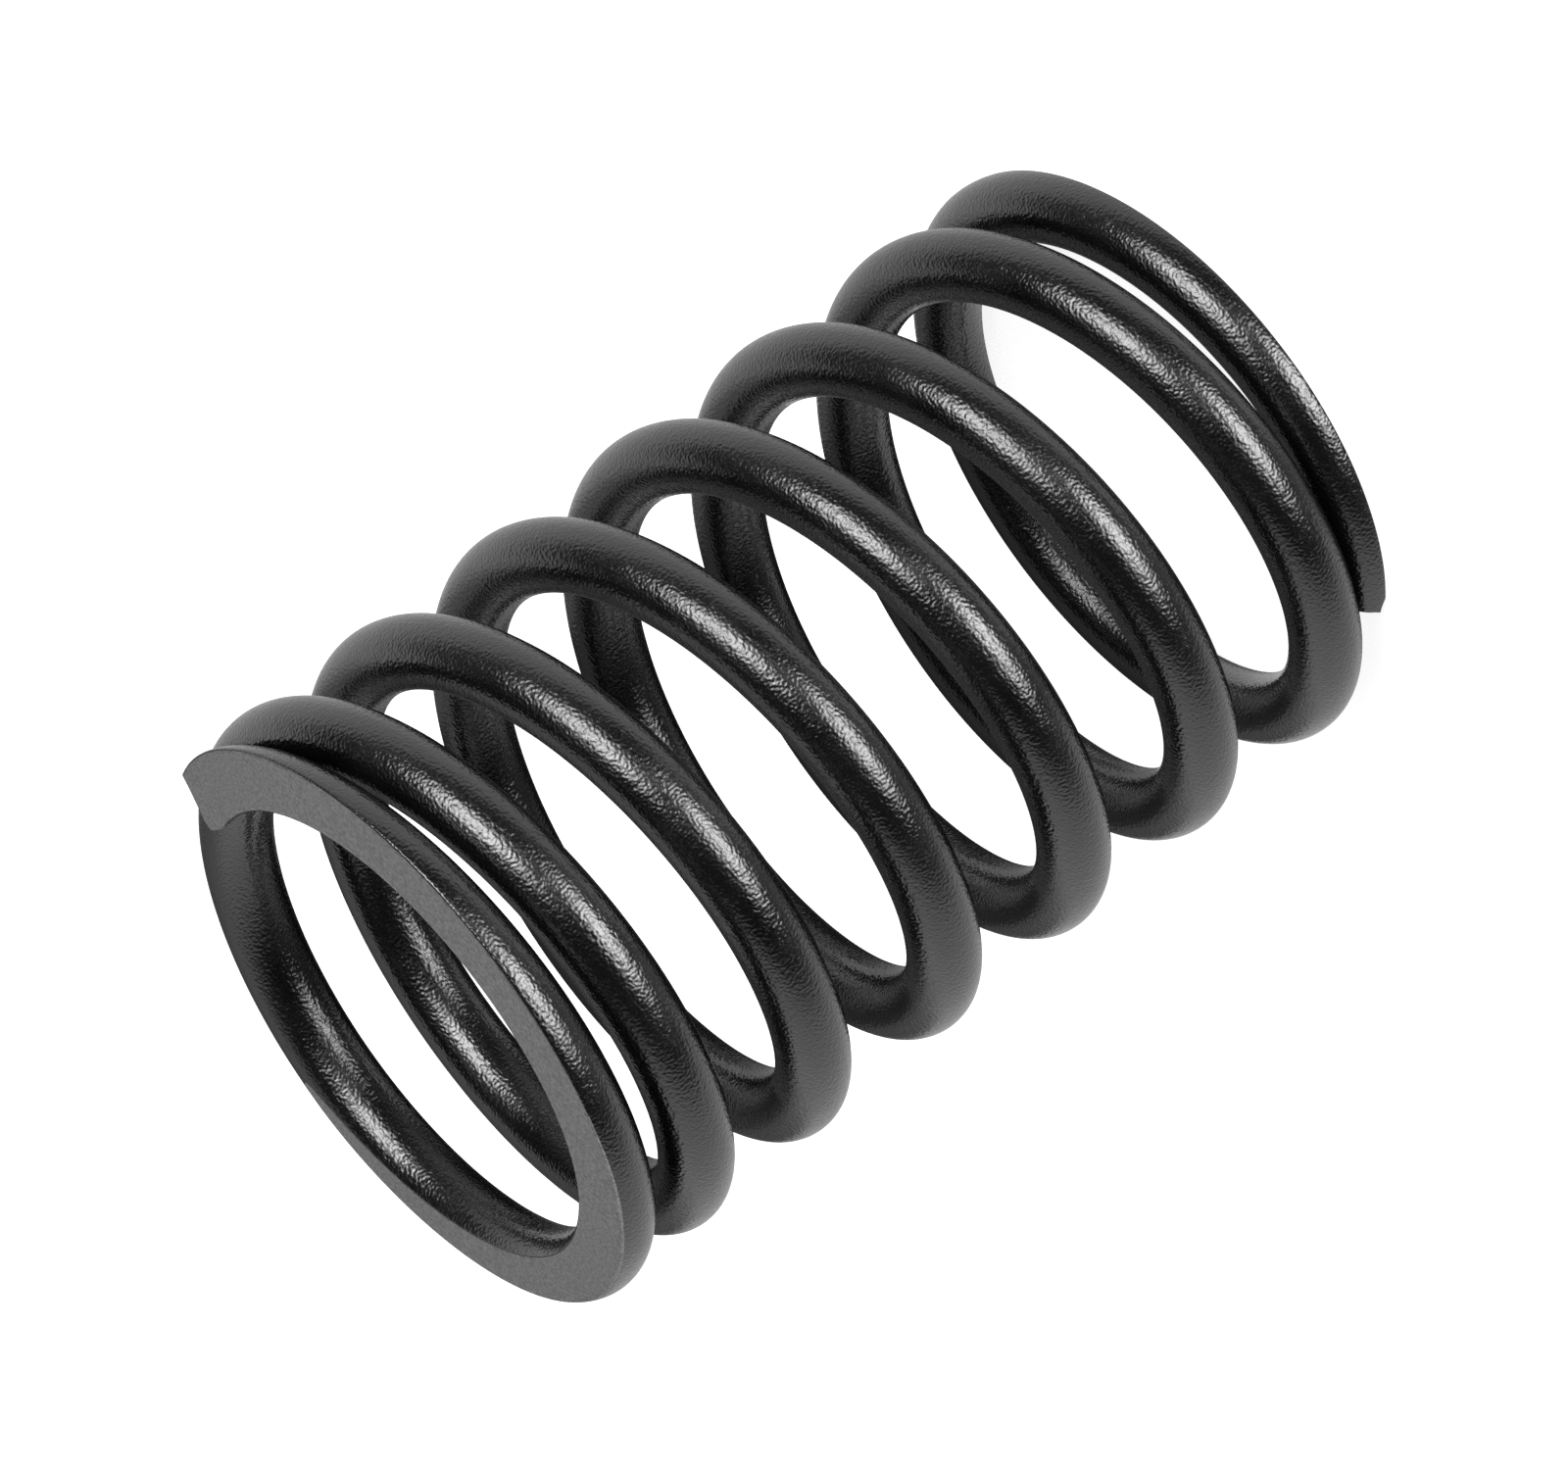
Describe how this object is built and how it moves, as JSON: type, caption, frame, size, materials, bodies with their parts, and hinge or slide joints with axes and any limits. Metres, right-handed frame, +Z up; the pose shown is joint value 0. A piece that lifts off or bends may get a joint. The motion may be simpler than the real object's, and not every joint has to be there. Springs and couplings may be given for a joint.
{
  "type": "valve spring",
  "caption": "Helical compression spring for an engine valve: round wire, right-hand wound, closed end coils ground flat, closer pitch towards the top end, black satin coat.",
  "frame": {"origin": "centre of the bottom ground face, on the spring's axis", "axes": "+Z up the spring's axis, from the bottom ground face to the top one; -Y is the side that the picture is taken from"},
  "size_m": [0.0358, 0.0358, 0.0569],
  "materials": {
    "coated_wire": "thin black satin coat over shot-peened spring wire"
  },
  "bodies": {
    "root": {"spring": "coated_wire"}
  },
  "joints": []
}
